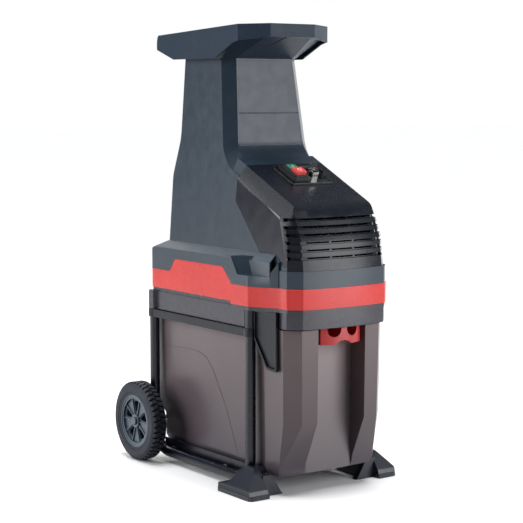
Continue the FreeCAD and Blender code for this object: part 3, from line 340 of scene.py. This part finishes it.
def varnished_core(name):
    """Stator laminations under dark varnish."""
    s = Shader(name, (0.06, 0.065, 0.075), 0.35, Coat_Weight=0.4, Coat_Roughness=0.2)
    split = s.add("ShaderNodeSeparateXYZ", Vector=s.place)
    sheets = s.maths("SINE", s.maths("MULTIPLY", split.outputs["Y"], 6000.0))
    s.colour(s.blend(s.remap(sheets, -1.0, 1.0, 0.0, 1.0), (0.045, 0.05, 0.06), (0.11, 0.11, 0.12)))
    s.gloss(s.remap(s.noise(60.0, 4.0), 0.3, 0.7, 0.28, 0.45))
    s.relief((sheets, 0.3, 0.0002))
    return s.material


def pale_floor(name):
    s = Shader(name, (0.90, 0.90, 0.90), 0.75)
    s.colour(s.blend(s.noise(0.8, 3.0), (0.92, 0.92, 0.92), (0.89, 0.89, 0.895)))
    s.gloss(s.remap(s.noise(3.0, 3.0), 0.3, 0.7, 0.7, 0.85))
    s.relief((s.noise(200.0, 2.0), 0.05, 0.0005))
    return s.material


HOUSING = (0.020, 0.036, 0.056)
HOPPER = (0.030, 0.046, 0.070)
PANEL = (0.014, 0.021, 0.042)
HOOD = (0.007, 0.009, 0.015)
SIDE_PANEL = (0.024, 0.026, 0.036)
RED = (0.88, 0.058, 0.050)
CHASSIS = (0.032, 0.030, 0.044)
BLACK = (0.002, 0.003, 0.009)
RUBBER = (0.011, 0.014, 0.022)
HUB = (0.060, 0.090, 0.120)
FOOT = (0.010, 0.013, 0.022)
RAIL = (0.003, 0.004, 0.009)
LATCH = (0.60, 0.030, 0.030)
CONTROL = (0.008, 0.009, 0.012)
MATT_BLACK = (0.0008, 0.0008, 0.0012)
START_GREEN = (0.03, 0.25, 0.13)
STOP_RED = (0.72, 0.06, 0.055)
STEEL = (0.56, 0.57, 0.58)
ALUMINIUM = (0.62, 0.63, 0.64)
CAPACITOR = (0.72, 0.71, 0.66)


def make_materials():
    """One procedural material for each material slot of the record, for the hopper, and for the sheet of painted
    shade behind the louvres.
    """
    return {
        "housing_plastic": moulded("housing_plastic", HOUSING, 0.34, grain=0.3, tone=0.05, shine=0.45),
        "hopper_plastic": moulded("hopper_plastic", HOPPER, 0.40, grain=0.3, tone=0.05, shine=0.12),
        "panel_plastic": moulded("panel_plastic", PANEL, 0.34, grain=0.2, tone=0.05, shine=0.4),
        "hood_plastic": polished_plastic("hood_plastic", HOOD, 0.27, tone=0.08, shine=0.36),
        "side_panel_plastic": polished_plastic("side_panel_plastic", SIDE_PANEL, 0.16),
        "band_plastic": polished_plastic("band_plastic", RED, 0.27, shine=0.35),
        "chassis_plastic": moulded("chassis_plastic", CHASSIS, 0.27, grain=0.15, tone=0.07, shine=0.45),
        "frame_paint": powder_coat("frame_paint", BLACK),
        "rail_plastic": moulded("rail_plastic", RAIL, 0.34, grain=0.4, dust=0.01, shine=0.25),
        "foot_plastic": moulded("foot_plastic", FOOT, 0.34, grain=0.5, shine=0.45),
        "galvanised": zinc_plated("galvanised"),
        "tyre_rubber": rubber("tyre_rubber", RUBBER),
        "hub_plastic": moulded("hub_plastic", HUB, 0.38, grain=0.4),
        "box_plastic": smoked_box("box_plastic"),
        "latch_plastic": polished_plastic("latch_plastic", LATCH, 0.30),
        "control_plastic": moulded("control_plastic", CONTROL, 0.34, grain=0.5),
        "matt_black": moulded("matt_black", MATT_BLACK, 0.8, grain=0.4, dust=0.0, shine=0.05),
        "green_button": polished_plastic("green_button", START_GREEN, 0.32),
        "red_button": polished_plastic("red_button", STOP_RED, 0.32),
        "bright_metal": bright_plate("bright_metal"),
        "machined_steel": machined("machined_steel", STEEL, 0.30),
        "core_steel": varnished_core("core_steel"),
        "cast_aluminium": cast_metal("cast_aluminium", ALUMINIUM),
        "capacitor_plastic": polished_plastic("capacitor_plastic", CAPACITOR, 0.4),
    }


# Nodes whose finish differs from their material slot. The gussets take the near-black rail finish as painted shade
# under the overhanging corner block.
NODE_FINISH = {"gusset_left": "rail_plastic", "gusset_right": "rail_plastic", "hopper": "hopper_plastic"}
materials = make_materials()


# ---- softened edges on the CAD nodes --------------------------------------------------
# Edge widths in millimetres.
EDGE_WIDTH = {
    "housing": 2.4, "hopper": 0.9, "motor_hood": 0.8, "red_band": 0.8, "chassis": 0.6, "collection_box": 1.1,
    "box_latch": 1.2, "front_panel": 0.5, "control_plate": 0.5, "switch_box": 0.7, "start_button": 0.7,
    "stop_button": 1.0, "direction_knob": 0.7, "inlet_shroud": 0.3, "inlet_cover": 0.4,
}
FINE_EDGE = 0.35
COARSE_EDGE = 0.8
COARSE_NODES = ("foot", "side_rail", "gusset", "hood_side", "tyre", "wheel_hub", "gearbox", "cutter_frame")
BEVEL_ANGLE = 32.0         # degrees; sharper edges are rounded
BEVEL_SEGMENTS = 2
FLAT_ANGLE = 0.6           # degrees; triangles closer than this are one flat face
MERGE_GAP = 0.02 * MM


def edge_width(node):
    if node in EDGE_WIDTH:
        return EDGE_WIDTH[node]
    return COARSE_EDGE if node.startswith(COARSE_NODES) else FINE_EDGE


def soften(obj, width):
    """Merge the triangles of flat faces, round the sharp edges and shade the rest smooth."""
    for polygon in obj.data.polygons:
        polygon.use_smooth = True
    weld = obj.modifiers.new("weld", "WELD")
    weld.merge_threshold = MERGE_GAP
    planes = obj.modifiers.new("planes", "DECIMATE")
    planes.decimate_type = "DISSOLVE"
    planes.angle_limit = math.radians(FLAT_ANGLE)
    bevel = obj.modifiers.new("bevel", "BEVEL")
    bevel.width = width * MM
    bevel.segments = BEVEL_SEGMENTS
    bevel.limit_method = "ANGLE"
    bevel.angle_limit = math.radians(BEVEL_ANGLE)
    bevel.use_clamp_overlap = True
    bevel.miter_outer = "MITER_ARC"
    weighted = obj.modifiers.new("normals", "WEIGHTED_NORMAL")
    weighted.mode = "FACE_AREA"
    weighted.keep_sharp = False


def dress_nodes():
    for name, obj in nodes.items():
        material = materials[NODE_FINISH.get(name, slot_of[name])]
        obj.data.materials.clear()
        obj.data.materials.append(material)
        if "custom_normal" in obj.data.attributes:
            obj.data.attributes.remove(obj.data.attributes["custom_normal"])
        soften(obj, edge_width(name))


# ---- mesh helpers for added pieces ----------------------------------------------------
def finish_piece(name, bm, material, body):
    mesh = bpy.data.meshes.new(name)
    bmesh.ops.recalc_face_normals(bm, faces=bm.faces)
    bm.to_mesh(mesh)
    bm.free()
    mesh.materials.append(material)
    mesh.shade_smooth()
    piece = bpy.data.objects.new(name, mesh)
    bpy.context.scene.collection.objects.link(piece)
    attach(piece, body)
    return piece


def frame_of(origin, axis):
    """Matrix that takes local +Z to axis and the local origin to origin."""
    turn = Vector(axis).normalized().to_track_quat("Z", "Y").to_matrix().to_4x4()
    return Matrix.Translation(Vector(origin)) @ turn


def ring_of(bm, points):
    return [bm.verts.new(point) for point in points]


def stitch(bm, lower, upper):
    count = len(lower)
    for i in range(count):
        j = (i + 1) % count
        bm.faces.new((lower[i], lower[j], upper[j], upper[i]))


def lobed(radius, depth, count, lobes):
    """Points of a rounded lobed ring, as the socket of a screw has."""
    points = []
    for i in range(count):
        angle = 2 * math.pi * i / count
        reach = radius * (1 - depth * (0.5 - 0.5 * math.cos(lobes * angle)))
        points.append((reach * math.cos(angle), reach * math.sin(angle)))
    return points


SCREW_STEPS = 48
SCREW_LOBES = 6
SCREW_HEIGHT = 0.55        # share of the head's radius
LOBE_DEPTH = 0.26
# Shares of the radius and the height, up over the head and then down into its socket.
HEAD_PROFILE = ((1.0, 0.0), (1.0, 0.35), (0.93, 0.70), (0.78, 0.92), (0.60, 1.0))
SOCKET_PROFILE = ((0.46, 1.0), (0.42, 0.35), (0.20, 0.30))


def add_screw(bm, place, radius):
    """Pan-head screw with a six-lobed socket, standing on place along its +Z."""
    height = SCREW_HEIGHT * radius
    rings = []
    for share, level in HEAD_PROFILE:
        circle = lobed(radius * share, 0.0, SCREW_STEPS, 1)
        rings.append(ring_of(bm, [(x, y, height * level) for x, y in circle]))
    for share, level in SOCKET_PROFILE:
        outline = lobed(radius * share, LOBE_DEPTH, SCREW_STEPS, SCREW_LOBES)
        rings.append(ring_of(bm, [(x, y, height * level) for x, y in outline]))
    for lower, upper in zip(rings, rings[1:]):
        stitch(bm, lower, upper)
    bm.faces.new(rings[-1])
    bm.faces.new(list(reversed(rings[0])))
    bmesh.ops.transform(bm, matrix=place, verts=[v for ring in rings for v in ring])


def screw_group(name, seats, radius):
    """One zinc-plated piece that holds every screw of a kind; seats are (position, direction)."""
    bm = bmesh.new()
    for position, direction in seats:
        add_screw(bm, frame_of(position, direction), radius)
    finish_piece(name, bm, materials["galvanised"], "root")


RING_SIDES = 10


def swept_ring(bm, centre, axis, radius, section, steps, ripple=0.0, waves=0):
    """Closed ring of oval section round an axis, with an optional ripple along its run."""
    place = frame_of(centre, axis)
    loops = []
    for i in range(steps):
        angle = 2 * math.pi * i / steps
        swell = 1 + ripple * math.cos(waves * angle)
        loop = []
        for k in range(RING_SIDES):
            turn = 2 * math.pi * k / RING_SIDES
            reach = radius + section[0] * swell * math.cos(turn)
            height = section[1] * swell * math.sin(turn)
            point = (reach * math.cos(angle), reach * math.sin(angle), height)
            loop.append(bm.verts.new(place @ Vector(point)))
        loops.append(loop)
    for i in range(steps):
        stitch(bm, loops[i], loops[(i + 1) % steps])


# ---- added pieces ---------------------------------------------------------------------
def hood_directions():
    """Outward and up-slope directions of the sloping hood top."""
    outward = Vector(joint_of["direction_turn"]["axis"]).normalized()
    return outward, outward.cross(Vector((1, 0, 0))).normalized()


SOCKET_SCREW_Z = 366 * MM
SOCKET_SCREW_R = 4.5 * MM
SOCKET_SCREW_SINK = 0.4 * MM
TUBE_R = 11 * MM
SOCKET_R = 14.5 * MM


def frame_screws():
    """Screws through the chassis sockets into the inner side of the frame tubes."""
    low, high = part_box("frame_tube_left")
    centre = abs(low.x + high.x) / 2
    seats = []
    for sign in (-1, 1):
        for y in (low.y + TUBE_R, high.y - TUBE_R):
            head = (sign * (centre - SOCKET_R + SOCKET_SCREW_SINK), y, SOCKET_SCREW_Z)
            seats.append((head, (-sign, 0, 0)))
    screw_group("tube_socket_screws", seats, SOCKET_SCREW_R)


WELD_R = 8.2 * MM
WELD_SECTION = (1.8 * MM, 2.2 * MM)
WELD_INSET = 2.5 * MM
WELD_STEPS = 60
WELD_RIPPLE = 0.16
WELD_WAVES = 20


def weld_beads():
    """Rippled weld where each crossbar meets the frame tubes."""
    bm = bmesh.new()
    for node in ("crossbar_front", "crossbar_rear"):
        low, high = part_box(node)
        centre = (low + high) / 2
        for sign, end in ((-1, low.x), (1, high.x)):
            seat = (end - sign * WELD_INSET, centre.y, centre.z)
            swept_ring(bm, seat, (1, 0, 0), WELD_R, WELD_SECTION, WELD_STEPS, WELD_RIPPLE, WELD_WAVES)
    finish_piece("crossbar_welds", bm, materials["frame_paint"], "root")


def seat_on(node, start, direction):
    """Point and outward normal where a ray first meets a CAD node; the nodes sit at the origin."""
    hit, point, normal, _ = nodes[node].ray_cast(Vector(start), Vector(direction))
    if not hit:
        raise RuntimeError(f"no surface of {node} in front of {start}")
    return point, normal


# Node, distance from the middle and height of the moulding screws in the back.
REAR_SCREWS = (
    ("housing", 0.062, 0.560),
    ("housing", 0.056, 0.700),
    ("housing", 0.050, 0.850),
    ("chassis", 0.100, 0.370),
)
REAR_SCREW_R = 3.6 * MM
REAR_SCREW_SINK = 0.6 * MM
BEHIND = 0.5               # where the rays towards the back start


def moulding_screws():
    """Screws that close the housing and the chassis from behind."""
    seats = []
    for sign in (-1, 1):
        for node, across, height in REAR_SCREWS:
            point, normal = seat_on(node, (sign * across, BEHIND, height), (0, -1, 0))
            seats.append((point - REAR_SCREW_SINK * normal, normal))
    screw_group("moulding_screws", seats, REAR_SCREW_R)


# Height and Y of the ends of the sheet of painted shade behind the louvres.
PAINTED_SHADE_LINE = (
    (0.480, -0.268), (0.510, -0.268), (0.540, -0.268), (0.555, -0.265), (0.575, -0.256), (0.594, -0.247),
)
PAINTED_SHADE_HALF = 0.088
PAINTED_SHADE_BOW = 0.006
PAINTED_SHADE_STEPS = 16
PAINTED_SHADE_WALL = 1.4 * MM


def louvre_painted_shade():
    """Bowed near-black sheet behind the louvres: painted shade that darkens the gaps and hides the fan."""
    bm = bmesh.new()
    rows = []
    for z, y in PAINTED_SHADE_LINE:
        row = []
        for i in range(PAINTED_SHADE_STEPS + 1):
            share = 2 * i / PAINTED_SHADE_STEPS - 1
            row.append(bm.verts.new((share * PAINTED_SHADE_HALF, y - PAINTED_SHADE_BOW * (1 - share * share), z)))
        rows.append(row)
    for lower, upper in zip(rows, rows[1:]):
        for i in range(PAINTED_SHADE_STEPS):
            bm.faces.new((lower[i], lower[i + 1], upper[i + 1], upper[i]))
    # Near-black matt sheet: painted shade seen through the louvre gaps.
    painted_shade_sheet = finish_piece("louvre_painted_shade", bm, materials["matt_black"], "root")
    wall = painted_shade_sheet.modifiers.new("wall", "SOLIDIFY")
    wall.thickness = PAINTED_SHADE_WALL
    wall.offset = 1.0


def plate_matrix(node, to_face):
    """Place on the outer face of a button, local X across, local Y up the slope."""
    outward, up = hood_directions()
    low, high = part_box(node)
    turn = Matrix((Vector((1, 0, 0)), up, outward)).transposed().to_4x4()
    return Matrix.Translation((low + high) / 2 + outward * to_face) @ turn


# Share of the width and height of each level of the start bar.
BAR_LEVELS = ((1.0, -0.2 * MM), (1.0, 0.27 * MM), (0.72, 0.45 * MM))
BAR_WIDTH = 1.6 * MM
BAR_LENGTH = 8.0 * MM
BAR_STEPS = 24
RING_R = 4.2 * MM
RING_SECTION = (0.8 * MM, 0.45 * MM)
RING_STEPS = 48
START_FACE = 3.5 * MM      # from the middle of the button to its outer face
STOP_FACE = 6.0 * MM


def raised_bar(bm, place):
    """Low bar with rounded ends, bevelled towards its top."""
    rings = []
    for share, z in BAR_LEVELS:
        ring = []
        reach = share * BAR_WIDTH / 2
        for i in range(BAR_STEPS):
            angle = 2 * math.pi * i / BAR_STEPS
            end = math.copysign((BAR_LENGTH - BAR_WIDTH) / 2, math.sin(angle))
            ring.append((reach * math.cos(angle), end + reach * math.sin(angle), z))
        rings.append(ring_of(bm, [place @ Vector(point) for point in ring]))
    for lower, upper in zip(rings, rings[1:]):
        stitch(bm, lower, upper)
    bm.faces.new(rings[-1])
    bm.faces.new(list(reversed(rings[0])))


def button_marks():
    """Raised bar on the start button and raised ring on the stop button."""
    outward, _ = hood_directions()
    bm = bmesh.new()
    raised_bar(bm, plate_matrix("start_button", START_FACE))
    finish_piece("start_mark", bm, materials["capacitor_plastic"], "start_button")
    bm = bmesh.new()
    centre = plate_matrix("stop_button", STOP_FACE).translation
    swept_ring(bm, centre, outward, RING_R, RING_SECTION, RING_STEPS)
    finish_piece("stop_mark", bm, materials["capacitor_plastic"], "stop_button")


def add_floor():
    bm = bmesh.new()
    bmesh.ops.create_grid(bm, x_segments=2, y_segments=2, size=FLOOR_SIZE)
    mesh = bpy.data.meshes.new("floor")
    bm.to_mesh(mesh)
    bm.free()
    mesh.materials.append(pale_floor("floor_finish"))
    floor = bpy.data.objects.new("floor", mesh)
    floor.location.z = -FLOOR_DROP
    floor.visible_diffuse = False
    bpy.context.scene.collection.objects.link(floor)


# ---- scene ----------------------------------------------------------------------------
add_camera()
add_lights()
add_world()
add_floor()
dress_nodes()
frame_screws()
moulding_screws()
weld_beads()
louvre_painted_shade()
button_marks()

bpy.context.scene.view_settings.view_transform = "Standard"
